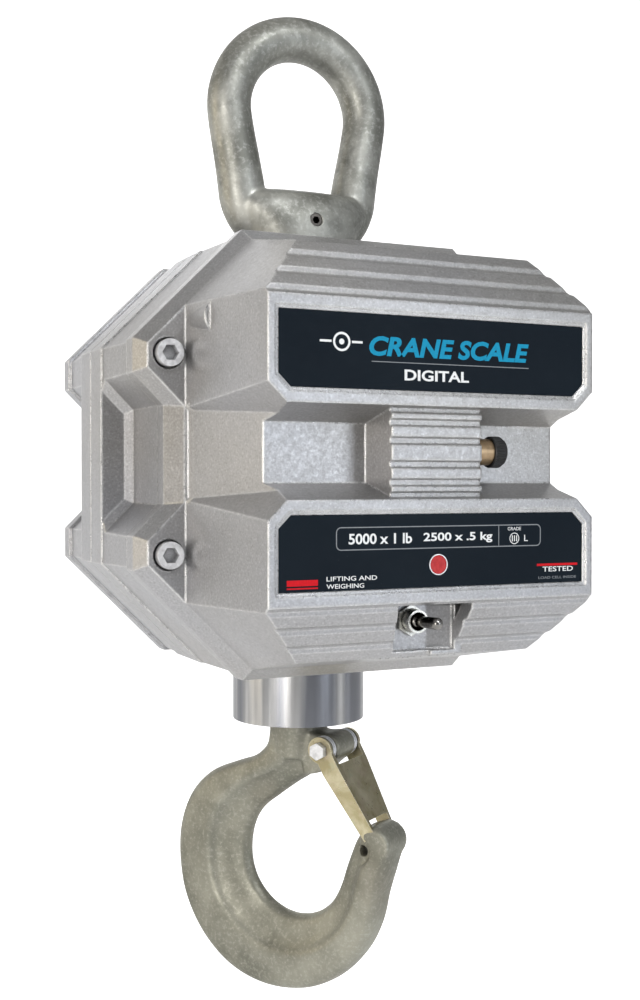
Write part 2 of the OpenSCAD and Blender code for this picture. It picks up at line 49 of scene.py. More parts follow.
INK_DEPTH = 0.03


# ---------------------------------------------------------------- camera and studio
def look(obj, direction):
    """Turns a camera or a light so that it looks along direction."""
    obj.rotation_euler = Vector(direction).to_track_quat("-Z", "Y").to_euler()


CAMERA_PLACE = (-0.31426, -0.70531, -0.25877)
CAMERA_YAW = math.radians(25.02)
CAMERA_PITCH = math.radians(-0.75)
CAMERA_LENS = 45.02


def make_camera():
    cam = bpy.data.cameras.new("camera")
    cam.sensor_fit = "VERTICAL"
    cam.sensor_height = 36.0
    cam.lens = CAMERA_LENS
    cam.clip_start = 0.01
    obj = bpy.data.objects.new("camera", cam)
    bpy.context.scene.collection.objects.link(obj)
    obj.location = CAMERA_PLACE
    level = math.cos(CAMERA_PITCH)
    look(obj, (math.sin(CAMERA_YAW) * level, math.cos(CAMERA_YAW) * level, math.sin(CAMERA_PITCH)))
    bpy.context.scene.camera = obj


def area_light(name, place, target, size, watts, colour):
    data = bpy.data.lights.new(name, "AREA")
    data.shape = "RECTANGLE"
    data.size, data.size_y = size
    data.energy = watts
    data.color = colour
    obj = bpy.data.objects.new(name, data)
    bpy.context.scene.collection.objects.link(obj)
    obj.location = place
    look(obj, Vector(target) - Vector(place))


def make_studio():
    area_light("key", (0.72, -1.6, -0.12), (0, 0, -0.25), (0.45, 0.8), 4.4, (0.86, 0.92, 1.0))
    area_light("front_top", (0.1, -1.5, 1.0), (0, 0, -0.15), (0.9, 0.5), 14, (0.97, 0.985, 1.0))
    area_light("left_front", (-1.5, -1.2, -0.15), (0, 0, -0.27), (0.6, 1.0), 13, (1.0, 0.96, 0.91))
    area_light("warm_side", (-1.6, 0.35, 0.1), (0, 0, -0.27), (0.8, 1.4), 5.0, (1.0, 0.86, 0.62))
    area_light("overhead", (-0.1, -0.1, 1.1), (0, 0, -0.2), (1.2, 1.0), 2.0, (1.0, 0.97, 0.92))
    area_light("right", (1.5, -0.5, -0.3), (0, 0, -0.3), (0.3, 1.3), 0.6, (0.95, 0.97, 1.0))
    area_light("back", (0.5, 1.3, 0.5), (0, 0, -0.27), (1.0, 0.8), 3, (1.0, 1.0, 1.0))
    world = bpy.data.worlds.new("studio")
    bpy.context.scene.world = world
    world.use_nodes = True
    back = world.node_tree.nodes["Background"]
    back.inputs["Color"].default_value = (0.90, 0.915, 0.93, 1)
    back.inputs["Strength"].default_value = 0.26
    bpy.context.scene.view_settings.view_transform = "Standard"


def make_backdrop():
    floor_z, wall_y, bend = -0.78, 1.7, 0.5
    steps = 12
    line = [(-3.0, floor_z)]
    for i in range(steps + 1):
        a = math.pi / 2 * i / steps
        line.append((wall_y - bend + bend * math.sin(a), floor_z + bend - bend * math.cos(a)))
    line.append((wall_y, 2.4))
    bm = bmesh.new()
    rows = [[bm.verts.new((x, y, z)) for x in (-4.0, 4.0)] for y, z in line]
    for a, b in zip(rows, rows[1:]):
        bm.faces.new((a[0], a[1], b[1], b[0]))
    mesh = bpy.data.meshes.new("backdrop")
    bm.to_mesh(mesh)
    bm.free()
    for p in mesh.polygons:
        p.use_smooth = True
    obj = bpy.data.objects.new("backdrop", mesh)
    bpy.context.scene.collection.objects.link(obj)
    s = Shader("backdrop")
    s.socket("Base Color", (0.94, 0.94, 0.94, 1))
    s.socket("Roughness", 0.9)
    s.socket("Emission Color", (1.0, 1.0, 1.0, 1))
    ray = s.node("ShaderNodeLightPath").outputs["Is Camera Ray"]
    s.socket("Emission Strength", s.math("ADD", s.math("MULTIPLY", ray, 0.55), 0.22))
    obj.data.materials.append(s.mat)


# ---------------------------------------------------------------- materials
class Shader:
    """A small builder for node materials. Textures use object coordinates, in metres."""

    def __init__(self, name):
        self.mat = bpy.data.materials.new(name)
        self.mat.use_nodes = True
        self.tree = self.mat.node_tree
        self.bsdf = self.tree.nodes["Principled BSDF"]
        self.coord = self.tree.nodes.new("ShaderNodeTexCoord").outputs["Object"]
        self.normal = None

    def node(self, kind, **values):
        n = self.tree.nodes.new(kind)
        for key, value in values.items():
            setattr(n, key, value)
        return n

    def put(self, socket, value):
        if isinstance(value, bpy.types.NodeSocket):
            self.tree.links.new(value, socket)
        else:
            socket.default_value = value

    def socket(self, name, value):
        self.put(self.bsdf.inputs[name], value)

    def stretch(self, scale):
        m = self.node("ShaderNodeMapping")
        self.put(m.inputs["Vector"], self.coord)
        m.inputs["Scale"].default_value = scale
        return m.outputs["Vector"]

    def noise(self, scale, detail=3.0, rough=0.55, vector=None, distortion=0.0):
        n = self.node("ShaderNodeTexNoise")
        self.put(n.inputs["Vector"], vector or self.coord)
        n.inputs["Scale"].default_value = scale
        n.inputs["Detail"].default_value = detail
        n.inputs["Roughness"].default_value = rough
        n.inputs["Distortion"].default_value = distortion
        return n.outputs["Fac"]

    def cells(self, scale):
        n = self.node("ShaderNodeTexVoronoi")
        self.put(n.inputs["Vector"], self.coord)
        n.inputs["Scale"].default_value = scale
        return n.outputs["Distance"]

    def steps(self, value, low, high, out_low=0.0, out_high=1.0):
        n = self.node("ShaderNodeMapRange")
        self.put(n.inputs["Value"], value)
        ends = {"From Min": low, "From Max": high, "To Min": out_low, "To Max": out_high}
        for key, number in ends.items():
            n.inputs[key].default_value = number
        return n.outputs["Result"]

    def math(self, operation, a, b=0.0):
        n = self.node("ShaderNodeMath", operation=operation)
        self.put(n.inputs[0], a)
        self.put(n.inputs[1], b)
        return n.outputs[0]

    def mix(self, fac, a, b):
        n = self.node("ShaderNodeMix", data_type="RGBA")
        self.put(n.inputs[0], fac)
        self.put(n.inputs[6], a)
        self.put(n.inputs[7], b)
        return n.outputs[2]

    def rounded(self, radius):
        """A normal rounded over sharp edges, and a mask that is 1 on those edges."""
        bevel = self.node("ShaderNodeBevel", samples=4)
        bevel.inputs["Radius"].default_value = radius
        flat = self.node("ShaderNodeNewGeometry")
        dot = self.node("ShaderNodeVectorMath", operation="DOT_PRODUCT")
        self.put(dot.inputs[0], bevel.outputs["Normal"])
        self.put(dot.inputs[1], flat.outputs["Normal"])
        self.normal = bevel.outputs["Normal"]
        return self.steps(dot.outputs["Value"], 0.995, 0.85)

    def painted_corner_shade(self, distance):
        """A mask that is 1 far inside corners, used to paint shade into them."""
        ao = self.node("ShaderNodeAmbientOcclusion", samples=4)
        ao.inputs["Distance"].default_value = distance
        return self.steps(ao.outputs["AO"], 0.85, 0.25)

    def bump(self, height, strength, distance):
        n = self.node("ShaderNodeBump")
        n.inputs["Strength"].default_value = strength
        n.inputs["Distance"].default_value = distance
        self.put(n.inputs["Height"], height)
        if self.normal is not None:
            self.put(n.inputs["Normal"], self.normal)
        self.normal = n.outputs["Normal"]

    def done(self):
        if self.normal is not None:
            self.socket("Normal", self.normal)
        return self.mat


def grey(v, warm=0.0):
    return (v * (1 + warm), v, v * (1 - warm), 1)


def cast_paint():
    """Silver paint on sand-cast aluminium."""
    s = Shader("cast_paint")
    edge = s.rounded(0.0019)
    corner_shade_mask = s.painted_corner_shade(0.012)
    patches = s.noise(9, 3, 0.6)
    speckle = s.noise(900, 2, 0.7)
    colour = s.mix(s.steps(patches, 0.35, 0.65), (0.385, 0.380, 0.382, 1), (0.455, 0.452, 0.460, 1))
    tint = s.noise(5, 2, 0.5)
    colour = s.mix(s.steps(tint, 0.52, 0.68, 0, 0.5), colour, (0.41, 0.425, 0.475, 1))
    colour = s.mix(s.steps(tint, 0.46, 0.32, 0, 0.45), colour, (0.43, 0.41, 0.37, 1))
    colour = s.mix(s.steps(speckle, 0.54, 0.68, 0, 0.5), colour, (0.64, 0.64, 0.64, 1))
    colour = s.mix(s.steps(speckle, 0.46, 0.30, 0, 0.4), colour, (0.21, 0.205, 0.19, 1))
    # painted shade: corners darkened towards dark grey by the occlusion mask
    colour = s.mix(s.math("MULTIPLY", corner_shade_mask, 0.10), colour, (0.24, 0.235, 0.22, 1))
    # edge wear and painted highlight: sharp edges lightened to near white, broken up by noise
    edge_wear_and_highlight = s.math("MULTIPLY", edge, s.steps(s.noise(160, 3, 0.7), 0.38, 0.60, 0.45, 1.0))
    colour = s.mix(s.math("MULTIPLY", edge_wear_and_highlight, 0.9), colour, (0.93, 0.93, 0.92, 1))
    s.socket("Base Color", colour)
    s.socket("Metallic", 0.82)
    rough = s.steps(s.noise(320, 3, 0.6), 0.3, 0.7, 0.30, 0.44)
    s.socket("Roughness", s.math("SUBTRACT", rough, s.math("MULTIPLY", edge, 0.08)))
    s.bump(s.noise(620, 4, 0.65), 0.42, 0.00022)
    s.bump(s.noise(60, 3, 0.5), 0.18, 0.0006)
    return s.done()


def forged_zinc():
    """Mottled galvanised forging."""
    s = Shader("forged_zinc")
    patches = s.noise(38, 5, 0.62, distortion=0.4)
    fine = s.noise(420, 3, 0.6)
    colour = s.mix(s.steps(patches, 0.36, 0.64), (0.22, 0.222, 0.198, 1), (0.42, 0.422, 0.39, 1))
    colour = s.mix(s.steps(fine, 0.5, 0.74, 0, 0.5), colour, (0.62, 0.62, 0.59, 1))
    colour = s.mix(s.steps(s.noise(14, 2, 0.5), 0.6, 0.8, 0, 0.35), colour, (0.36, 0.33, 0.28, 1))
    # painted shade: corners darkened by the occlusion mask
    colour = s.mix(s.math("MULTIPLY", s.painted_corner_shade(0.02), 0.4), colour, (0.12, 0.115, 0.105, 1))
    s.socket("Base Color", colour)
    s.socket("Metallic", 0.8)
    s.socket("Roughness", s.steps(s.noise(90, 3, 0.6), 0.3, 0.7, 0.36, 0.58))
    s.bump(s.noise(130, 4, 0.6), 0.35, 0.0005)
    s.bump(s.noise(700, 2, 0.6), 0.25, 0.00012)
    return s.done()


def forged_dull():
    """Dull olive-grey forging of the hook."""
    s = Shader("forged_dull")
    patches = s.noise(30, 5, 0.6, distortion=0.3)
    fine = s.noise(520, 3, 0.65)
    colour = s.mix(s.steps(patches, 0.35, 0.65), (0.19, 0.19, 0.155, 1), (0.34, 0.335, 0.28, 1))
    colour = s.mix(s.steps(fine, 0.5, 0.74, 0, 0.45), colour, (0.54, 0.53, 0.47, 1))
    colour = s.mix(s.steps(s.noise(12, 2, 0.5), 0.58, 0.8, 0, 0.4), colour, (0.20, 0.165, 0.12, 1))
    # painted shade: corners darkened by the occlusion mask
    colour = s.mix(s.math("MULTIPLY", s.painted_corner_shade(0.02), 0.5), colour, (0.07, 0.065, 0.055, 1))
    s.socket("Base Color", colour)
    s.socket("Metallic", 0.68)
    s.socket("Roughness", s.steps(s.noise(80, 3, 0.6), 0.3, 0.7, 0.40, 0.58))
    s.bump(s.noise(110, 4, 0.62), 0.4, 0.0006)
    s.bump(s.noise(650, 2, 0.6), 0.3, 0.00015)
    return s.done()


def turned_steel(name="turned_steel", base=0.62, rough=0.20, lines=(60, 60, 2600), depth=0.00003):
    """Lathe-turned or ground steel with fine lines across Z."""
    s = Shader(name)
    edge = s.rounded(0.0004)
    line = s.noise(1.0, 3, 0.6, vector=s.stretch(lines))
    cloud = s.noise(24, 3, 0.6)
    colour = s.mix(s.steps(line, 0.35, 0.65), grey(base * 0.86, 0.01), grey(base * 1.1))
    colour = s.mix(s.steps(cloud, 0.5, 0.8, 0, 0.3), colour, grey(base * 0.7, 0.04))
    # painted highlight: sharp edges lightened
    colour = s.mix(s.math("MULTIPLY", edge, 0.5), colour, grey(min(0.95, base * 1.35)))
    # painted shade: corners darkened by the occlusion mask
    colour = s.mix(s.math("MULTIPLY", s.painted_corner_shade(0.006), 0.5), colour, grey(base * 0.3, 0.05))
    s.socket("Base Color", colour)
    s.socket("Metallic", 1.0)
    s.socket("Roughness", s.steps(line, 0.3, 0.7, rough, rough + 0.12))
    s.bump(line, 0.35, depth)
    return s.done()


def streaked_steel_painted_reflection():
    """Polished bearing housing: long vertical streaks, with broad dark bluish bands painted in as
    reflections.
    """
    s = Shader("streaked_steel_painted_reflection")
    s.rounded(0.0006)
    streak = s.noise(1.0, 3, 0.6, vector=s.stretch((150, 150, 4)))
    cloud = s.noise(30, 2, 0.5)
    painted_reflection_bands = s.noise(1.0, 2, 0.5, vector=s.stretch((42, 42, 1.5)))
    colour = s.mix(s.steps(streak, 0.35, 0.65), grey(0.46, 0.015), grey(0.76))
    # painted reflection: broad dark bluish bands standing in for dark surroundings mirrored in the polish
    colour = s.mix(s.steps(painted_reflection_bands, 0.50, 0.38, 0, 0.8), colour, (0.13, 0.14, 0.17, 1))
    colour = s.mix(s.steps(cloud, 0.55, 0.75, 0, 0.25), colour, grey(0.34, 0.06))
    s.socket("Base Color", colour)
    s.socket("Metallic", 1.0)
    s.socket("Roughness", s.steps(streak, 0.3, 0.7, 0.12, 0.30))
    s.bump(streak, 0.25, 0.00005)
    return s.done()


def plated(name, colour, rough=0.22, metallic=1.0, spots=260, edge_wear_and_highlight=1.3):
    """Plated metal with slight clouding, edges lightened by wear and painted highlight, and painted shade
    in corners.
    """
    s = Shader(name)
    edge = s.rounded(0.0004)
    cloud = s.noise(spots, 3, 0.6)
    dark = tuple(c * 0.72 for c in colour) + (1,)
    bright = tuple(min(0.95, c * edge_wear_and_highlight) for c in colour) + (1,)
    base = s.mix(s.steps(cloud, 0.35, 0.65), dark, tuple(colour) + (1,))
    # edge wear and painted highlight: sharp edges lightened
    base = s.mix(s.math("MULTIPLY", edge, 0.6), base, bright)
    # painted shade: corners darkened nearly to black by the occlusion mask
    base = s.mix(s.math("MULTIPLY", s.painted_corner_shade(0.005), 0.95), base, tuple(c * 0.06 for c in colour) + (1,))
    s.socket("Base Color", base)
    s.socket("Metallic", metallic)
    s.socket("Roughness", s.steps(s.noise(spots * 2, 3, 0.6), 0.3, 0.7, rough, rough + 0.16))
    s.bump(s.noise(900, 3, 0.6), 0.2, 0.00006)
    return s.done()


def yellow_zinc():
    """Yellow chromate: gold with green, rose and brown clouds."""
    s = Shader("yellow_zinc")
    edge = s.rounded(0.0005)
    cloud = s.noise(70, 4, 0.6, distortion=0.6)
    rose = s.noise(110, 3, 0.6)
    colour = s.mix(s.steps(cloud, 0.35, 0.65), (0.42, 0.37, 0.22, 1), (0.66, 0.61, 0.44, 1))
    colour = s.mix(s.steps(rose, 0.55, 0.72, 0, 0.45), colour, (0.56, 0.45, 0.36, 1))
    colour = s.mix(s.steps(rose, 0.42, 0.30, 0, 0.4), colour, (0.46, 0.50, 0.36, 1))
    # painted highlight: sharp edges lightened
    colour = s.mix(s.math("MULTIPLY", edge, 0.75), colour, (0.86, 0.84, 0.74, 1))
    # painted shade: corners darkened by the occlusion mask
    colour = s.mix(s.math("MULTIPLY", s.painted_corner_shade(0.008), 0.6), colour, (0.08, 0.06, 0.03, 1))
    s.socket("Base Color", colour)
    s.socket("Metallic", 1.0)
    s.socket("Roughness", s.steps(s.noise(300, 3, 0.6), 0.3, 0.7, 0.26, 0.44))
    s.bump(s.noise(500, 3, 0.6), 0.25, 0.0001)
    return s.done()


def plastic(name, colour, rough=0.4, grain=900, depth=0.00008, vary=0.25):
    """Moulded plastic or rubber with fine texture."""
    s = Shader(name)
    edge = s.rounded(0.0003)
    low = tuple(c * (1 - vary) for c in colour) + (1,)
    high = tuple(min(1, c * (1 + vary) + 0.002) for c in colour) + (1,)
    base = s.mix(s.steps(s.noise(40, 4, 0.6), 0.35, 0.65), low, high)
    # painted highlight: sharp edges lightened
    base = s.mix(s.math("MULTIPLY", edge, 0.35), base, tuple(min(1, c * 1.6 + 0.03) for c in colour) + (1,))
    s.socket("Base Color", base)
    s.socket("Roughness", s.steps(s.noise(grain * 0.5, 3, 0.6), 0.3, 0.7, rough - 0.05, rough + 0.12))
    s.bump(s.noise(grain, 3, 0.6), 0.25, depth)
    return s.done()


def overlay():
    """Printed label film with a fine satin grain."""
    s = Shader("overlay")
    dust = s.noise(700, 3, 0.7)
    cloud = s.steps(s.noise(14, 3, 0.5), 0.35, 0.65)
    base = s.mix(cloud, (0.0068, 0.0110, 0.0165, 1), (0.0090, 0.0140, 0.0200, 1))
    base = s.mix(s.steps(dust, 0.68, 0.80, 0, 0.12), base, (0.12, 0.13, 0.14, 1))
    s.socket("Base Color", base)
    s.socket("Roughness", s.steps(s.noise(260, 3, 0.6), 0.3, 0.7, 0.34, 0.46))
    s.socket("Specular IOR Level", 0.05)
    s.bump(s.noise(1100, 2, 0.5), 0.12, 0.00004)
    return s.done()


def print_ink(name, colour):
    """Opaque ink of a label's print."""
    s = Shader(name)
    low = tuple(c * 0.9 for c in colour) + (1,)
    s.socket("Base Color", s.mix(s.steps(s.noise(1200, 2, 0.6), 0.4, 0.6), low, tuple(colour) + (1,)))
    s.socket("Roughness", s.steps(s.noise(500, 2, 0.5), 0.3, 0.7, 0.38, 0.5))
    s.socket("Specular IOR Level", 0.08)
    s.bump(s.noise(1500, 2, 0.5), 0.1, 0.00002)
    return s.done()


def lens():
    """Red indicator lens with small cells inside."""
    s = Shader("lens")
    cloud = s.steps(s.noise(500, 3, 0.6), 0.35, 0.65)
    s.socket("Base Color", s.mix(cloud, (0.36, 0.010, 0.012, 1), (0.50, 0.022, 0.022, 1)))
    s.socket("Roughness", s.steps(s.noise(300, 2, 0.5), 0.3, 0.7, 0.16, 0.26))
    s.socket("Specular IOR Level", 0.15)
    s.socket("Coat Weight", 0.08)
    s.bump(s.cells(1400), 0.3, 0.0001)
    return s.done()


MATERIALS = {}


def make_materials():
    m = MATERIALS
    m["paint"] = cast_paint()
    m["zinc"] = forged_zinc()
    m["dull"] = forged_dull()
    m["turned"] = turned_steel()
    m["race"] = turned_steel("race_steel", 0.66, 0.14, (40, 40, 3000), 0.00002)
    m["streaked_painted_reflection"] = streaked_steel_painted_reflection()
    m["bright"] = plated("bright_zinc", (0.93, 0.94, 0.97), 0.28, metallic=0.5)
    m["nickel"] = plated("nickel", (0.72, 0.71, 0.66), 0.16)
    m["dark_chrome"] = plated("dark_chrome", (0.30, 0.29, 0.275), 0.12)
    m["brass"] = plated("brass", (0.46, 0.33, 0.20), 0.26)
    m["oiled"] = plated("oiled_steel", (0.17, 0.155, 0.14), 0.3)
    m["gold"] = yellow_zinc()
    m["rubber"] = plastic("rubber", (0.02, 0.02, 0.02), 0.62)
    m["black"] = plastic("black_plastic", (0.008, 0.008, 0.008), 0.40)
    m["board"] = plastic("board_mask", (0.02, 0.13, 0.05), 0.3, 500)
    m["wrap"] = plastic("cell_wrap", (0.06, 0.12, 0.22), 0.3, 500)
    m["overlay"] = overlay()
    m["lens"] = lens()
    m["cyan"] = print_ink("ink_cyan", (0.012, 0.27, 0.46))
    m["white"] = print_ink("ink_white", (0.80, 0.82, 0.83))
    m["grey"] = print_ink("ink_grey", (0.25, 0.27, 0.29))
    m["red"] = print_ink("ink_red", (0.60, 0.012, 0.02))


NODE_MATERIAL = {
    "paint": ["front_shell", "rear_shell", "battery_cover"],
    "overlay": ["upper_label", "lower_label", "rear_label"],
    "zinc": ["lifting_eye"],
    "dull": ["hook"],
    "streaked_painted_reflection": ["bearing_housing"],
    "turned": ["load_cell", "bearing_cap", "hook_nut", "battery_bracket"],
    "race": ["lower_race", "upper_race", "thrust_balls"],
    "bright": ["shell_screws", "battery_cover_screws", "indicator_bezel", "latch_bolt", "latch_nut",
               "latch_spring"],
    "nickel": ["toggle_bushing", "toggle_nut"],
    "dark_chrome": ["toggle_lever"],
    "brass": ["connector_body", "board_standoffs"],
    "oiled": ["eye_set_screw", "nut_pin"],
    "gold": ["latch"],
    "rubber": ["shell_gasket", "upper_seal", "lower_seal", "connector_seal"],
    "black": ["toggle_body", "connector_cap", "antenna"],
    "board": ["circuit_board"],
    "wrap": ["battery_pack"],
    "lens": ["indicator_lens"],
}


def dress_nodes():
    """Gives every node of the frame its own material."""
    for key, names in NODE_MATERIAL.items():
        for name in names:
            mesh = NODES[name].data
            if mesh.materials:
                for i in range(len(mesh.materials)):
                    mesh.materials[i] = MATERIALS[key]
            else:
                mesh.materials.append(MATERIALS[key])


# ---------------------------------------------------------------- mesh helpers
def link_mesh(name, mesh, material, body, smooth=True):
    """Adds a piece of the visual model that rides on a body."""
    obj = bpy.data.objects.new(name, mesh)
    bpy.context.scene.collection.objects.link(obj)
    mesh.materials.clear()
    mesh.materials.append(MATERIALS[material])
    for p in mesh.polygons:
        p.use_smooth = smooth
    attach(obj, body)
    return obj


def solid_from(mesh, modifiers, name):
    """A new mesh with these modifiers applied."""
    temp = bpy.data.objects.new(name + "_raw", mesh)
    bpy.context.scene.collection.objects.link(temp)
    for kind, values in modifiers:
        m = temp.modifiers.new(kind, kind)
        for key, value in values.items():
            setattr(m, key, value)
    graph = bpy.context.evaluated_depsgraph_get()
    graph.update()
    result = bpy.data.meshes.new_from_object(temp.evaluated_get(graph))
    bpy.data.objects.remove(temp, do_unlink=True)
    result.name = name
    return result


def loft(bm, rings):
    """Skins a list of rings of points, and closes both ends."""
    loops = [[bm.verts.new(p) for p in ring] for ring in rings]
    n = len(loops[0])
    for a, b in zip(loops, loops[1:]):
        for i in range(n):
            bm.faces.new((a[i], a[(i + 1) % n], b[(i + 1) % n], b[i]))
    bm.faces.new(list(reversed(loops[0])))
    bm.faces.new(loops[-1])


def smooth_line(points, count):
    """Catmull-Rom through tuples of any size."""
    out = []
    n = len(points)
    for i in range(n - 1):
        p0, p1, p2, p3 = (points[max(0, i - 1)], points[i], points[i + 1], points[min(n - 1, i + 2)])
        for k in range(count):
            t = k / count
            out.append(tuple(
                0.5 * (2 * b + (c - a) * t + (2 * a - 5 * b + 4 * c - d) * t * t
                       + (3 * b - a - 3 * c + d) * t ** 3)
                for a, b, c, d in zip(p0, p1, p2, p3)))
    out.append(tuple(points[-1]))
    return out


# ---------------------------------------------------------------- lifting eye
def build_eye():
    """Forged eye: a bar that thickens into a saddle-shaped base, remeshed into one skin."""
    bm = bmesh.new()
    # the leg's middle line from inside the boss to the arc: x, height, bar radius
    leg = [(22, 137, 13.0), (31.5, 146, 13.8), (36.2, 156, 14.2), (37.8, 166, 14.1), (40.2, 180, 13.7),
           (43.4, 197, 13.4)]
    path = [(-x, z, r) for x, z, r in leg]
    for i in range(13):
        a = math.pi - math.pi * i / 12
        path.append((EYE_R * math.cos(a), EYE_ARC_Z + EYE_R * math.sin(a), EYE_BAR_R))
    path += reversed(leg)
    line = smooth_line(path, 5)
    rings = []
    for i, (x, z, r) in enumerate(line):
        a, b = line[max(0, i - 1)], line[min(len(line) - 1, i + 1)]
        t = Vector((b[0] - a[0], 0, b[1] - a[1])).normalized()
        side = Vector((t.z, 0, -t.x))
        rings.append([
            (Vector((x, 0, z + BODY_Z)) + side * (r * math.cos(u)) + Vector((0, r * math.sin(u), 0))) * MM
            for u in (2 * math.pi * k / 28 for k in range(28))])
    loft(bm, rings)
    # the boss: height, half width, half depth
    sections = [(121.3, 30.0, 28.0), (123.0, 31.5, 28.6), (128, 33.0, 28.8), (136, 36.0, 28.4),
                (144, 41.0, 27.6), (150, 43.5, 26.2), (155, 43.5, 24.0), (159, 40.5, 20.5),
                (161.5, 36.0, 15.5)]
    squareness = 2 / 2.3
    rings = []
    for z, a, b in smooth_line(sections, 4):
        ring = []
        for k in range(40):
            u = 2 * math.pi * k / 40
            c, s = math.cos(u), math.sin(u)
            ring.append((
                a * math.copysign(abs(c) ** squareness, c) * MM,
                b * math.copysign(abs(s) ** squareness, s) * MM,
                (z + BODY_Z) * MM))
        rings.append(ring)
    loft(bm, rings)
    soft = solid_from(to_mesh(bm, "eye_raw"), [
        ("REMESH", {"mode": "VOXEL", "voxel_size": 0.0013}),
        ("SMOOTH", {"factor": 0.5, "iterations": 8})], "eye_soft")
    cutter = bmesh.new()
    screw_z = SET_SCREW_Z + BODY_Z
    outside, inside = Vector((0, -50, screw_z)) * MM, Vector((0, -17.5, screw_z)) * MM
    add_cylinder(cutter, outside, inside, 0.00405, sides=40)
    mesh = carved(soft, to_mesh(cutter, "screw_hole"), "eye_forging")
    obj = link_mesh("eye_forging", mesh, "zinc", "housing")
    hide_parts("lifting_eye")


# ---------------------------------------------------------------- hook
def hook_point(u, z, v):
    """A point of the hook's own plane in the part's frame: u across, v through its thickness."""
    c, s = math.cos(HOOK_TURN), math.sin(HOOK_TURN)
    return Vector((u * c - v * s, u * s + v * c, z + BODY_Z)) * MM


HOOK_LINE = [
    # outer u, outer z, inner u, inner z, half thickness outside, half thickness inside
    (-15.2, -159.4, 15.6, -159.4, 13.0, 13.0),
    (-15.8, -168, 15.8, -170, 12.6, 13.4),
    (-18.5, -177, 15.8, -181, 12.0, 13.8),
    (-29, -185.5, 12.5, -191.5, 11.6, 14.4),
    (-45, -191.5, 1, -199.5, 11.2, 15.0),
    (-62, -199, -12, -209, 11.0, 15.0),
    (-76, -213, -25, -219.5, 11.0, 15.0),
    (-84.5, -233, -32, -233, 11.0, 15.0),
    (-86, -256, -33.5, -250, 11.0, 15.0),
    (-81, -281, -29, -264, 11.0, 15.0),
    (-67, -304, -19, -274.5, 11.2, 15.0),
    (-46, -320.5, -7, -279.8, 11.4, 15.0),
    (-20, -327.8, 5, -280.2, 11.4, 15.0),
    (8, -325.3, 16, -276.5, 11.2, 14.8),
    (31, -314, 24.5, -269.5, 11.0, 14.4),
    (47.5, -297, 29, -262.5, 11.0, 14.0),
    (56.5, -279, 32.2, -255, 11.4, 13.6),
    (60.5, -261, 34.6, -247.5, 12.2, 13.2),
    (65.5, -244, 38.5, -237, 12.8, 12.6),
    (68.8, -230.5, 42.5, -228, 12.6, 12.0),
    (66, -220.5, 48.5, -221.2, 11.4, 11.0),
    (60, -216.8, 54, -217.4, 10.0, 10.0),
]


def hook_ring(row):
    """A flat face outside that rounds over into a bull-nosed inner edge."""
    ou, oz, iu, iz, to, ti = row
    outline = [  # position from the outer edge to the inner edge, share of the half thickness
        (0.0, 0.0), (0.01, 0.42), (0.035, 0.76), (0.08, 0.95), (0.15, 1.03), (0.32, 1.06), (0.46, 1.06),
        (0.53, 1.00), (0.60, 0.76), (0.70, 0.60), (0.82, 0.50), (0.94, 0.34), (1.0, 0.0)]
    points = []
    for side, half_outline in ((1, outline), (-1, reversed(outline[1:-1]))):
        for t, share in half_outline:
            half = (to + (ti - to) * t) * share
            points.append(hook_point(ou + (iu - ou) * t, oz + (iz - oz) * t, side * half))
    return points


def add_cylinder(bm, start, end, r0, r1=None, sides=48):
    """A cylinder or cone between two points, in metres."""
    axis = (end - start).normalized()
    a = axis.orthogonal().normalized()
    b = axis.cross(a)
    r1 = r0 if r1 is None else r1
    turns = [2 * math.pi * k / sides for k in range(sides)]
    loft(bm, [[p + a * (r * math.cos(u)) + b * (r * math.sin(u)) for u in turns]
              for p, r in ((start, r0), (end, r1))])


def plane_prism(bm, outline, v0, v1):
    """A prism whose outline lies in the hook's plane."""
    low = [bm.verts.new(hook_point(u, z, v0)) for u, z in outline]
    top = [bm.verts.new(hook_point(u, z, v1)) for u, z in outline]
    n = len(outline)
    bm.faces.new(low)
    bm.faces.new(list(reversed(top)))
    for i in range(n):
        j = (i + 1) % n
        bm.faces.new((low[i], top[i], top[j], low[j]))


def to_mesh(bm, name):
    bmesh.ops.recalc_face_normals(bm, faces=bm.faces)
    mesh = bpy.data.meshes.new(name)
    bm.to_mesh(mesh)
    bm.free()
    return mesh


def carved(mesh, cutter_mesh, name):
    """mesh with cutter_mesh taken away."""
    body = bpy.data.objects.new(name, mesh)
    cutter = bpy.data.objects.new(name + "_cutter", cutter_mesh)
    bpy.context.scene.collection.objects.link(body)
    bpy.context.scene.collection.objects.link(cutter)
    cut = body.modifiers.new("cut", "BOOLEAN")
    cut.operation, cut.object, cut.solver = "DIFFERENCE", cutter, "EXACT"
    graph = bpy.context.evaluated_depsgraph_get()
    graph.update()
    result = bpy.data.meshes.new_from_object(body.evaluated_get(graph))
    bpy.data.objects.remove(body, do_unlink=True)
    bpy.data.objects.remove(cutter, do_unlink=True)
    result.name = name
    return result


PIVOT = (25.8, -174.5)       # the latch's bolt in the hook's plane
LOCK_HOLE = (50.3, -233.0)   # the hole through the tip
LUG_HALF = 10.9
LUG_R = 0.0089
TIP_HALF = 9.6
# where the tip is thinned for the latch: a ledge curves up from the throat to the knob
TIP_LEDGE = [(20, -248.5), (34, -247.8), (44, -245.5), (52, -241.0), (56.5, -235.5), (56.8, -230),
             (52.5, -225), (51.5, -216), (51, -206), (20, -206)]


